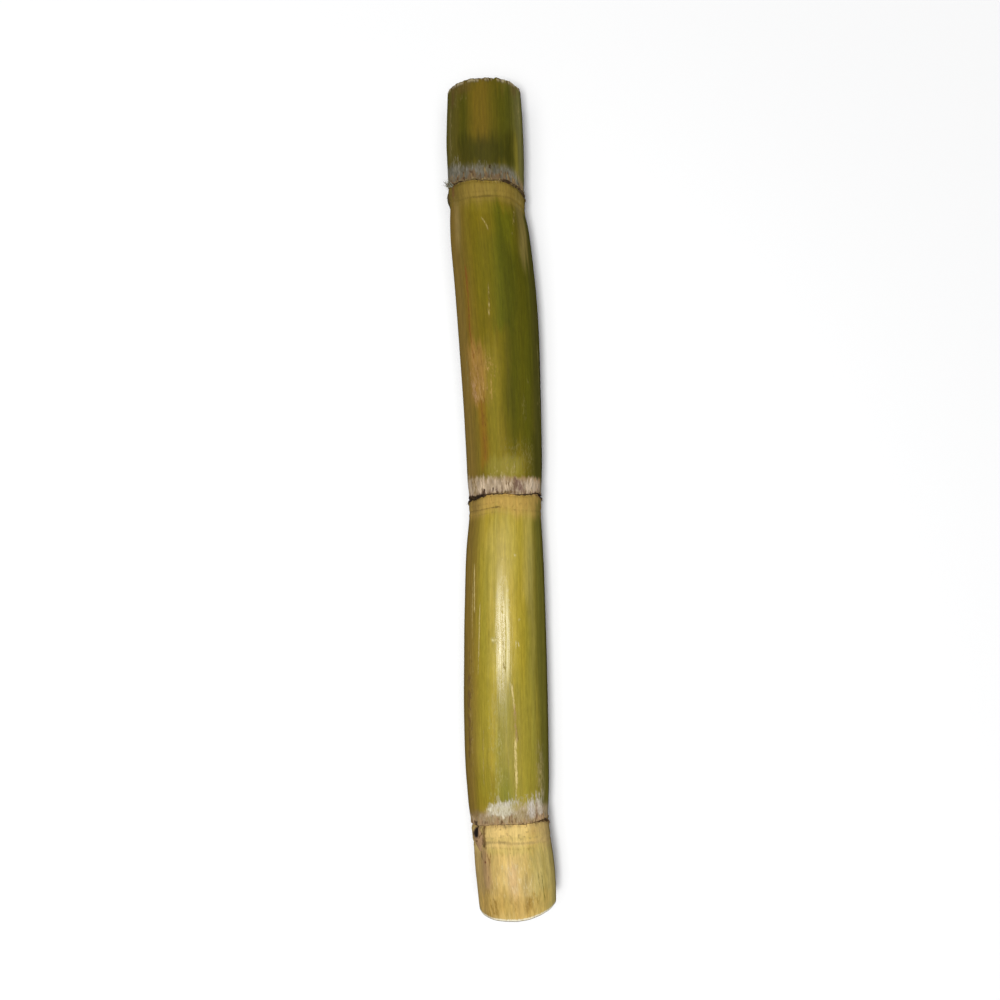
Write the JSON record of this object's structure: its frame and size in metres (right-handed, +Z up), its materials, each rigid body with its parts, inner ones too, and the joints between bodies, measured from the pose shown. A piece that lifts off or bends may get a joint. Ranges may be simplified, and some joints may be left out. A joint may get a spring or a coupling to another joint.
{
  "type": "sugarcane stalk",
  "caption": "Cut length of sugarcane stalk lying on its side, with ringed nodes, root bands, pressed buds and torn leaf-sheath remnants at the leaf scars.",
  "frame": {"origin": "middle of the stalk's bounding box, at the level that the stalk rests on", "axes": "+Z up from the surface that the stalk lies on, +Y along the stalk towards its root end, +X to the side"},
  "size_m": [0.0504, 0.3678, 0.0372],
  "materials": {
    "rind": "satin, waxy",
    "dry_sheath": "matte, fibrous"
  },
  "bodies": {
    "root": {"stalk": "rind", "sheath_remnant_root": "dry_sheath", "sheath_remnant_middle": "dry_sheath", "sheath_remnant_tip": "dry_sheath"}
  },
  "joints": []
}
